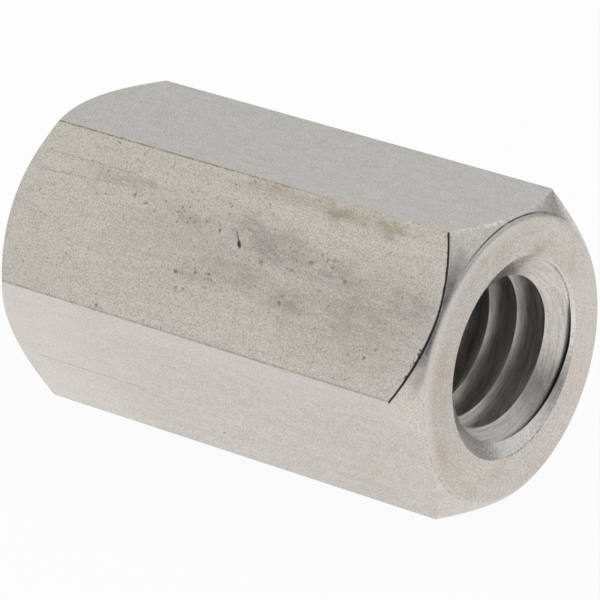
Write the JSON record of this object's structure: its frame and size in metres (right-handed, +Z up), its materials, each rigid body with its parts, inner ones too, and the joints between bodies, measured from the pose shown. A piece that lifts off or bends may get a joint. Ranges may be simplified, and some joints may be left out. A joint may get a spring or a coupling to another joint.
{
  "type": "coupling nut",
  "caption": "Long stainless steel hexagon nut, threaded right through, with chamfered ends and countersunk mouths, for joining threaded rods end to end.",
  "frame": {"origin": "middle of the thread's axis, halfway between the end faces", "axes": "+X along the thread towards the end that the picture shows, +Z up out of the top flat, the nut lying on the flat that faces -Z"},
  "size_m": [0.0226, 0.0144, 0.0126],
  "materials": {
    "stainless_steel": "matt drawn stainless steel with a fine grain, faint yellow stains and small pits"
  },
  "bodies": {
    "root": {"coupling_nut": "stainless_steel"}
  },
  "joints": []
}
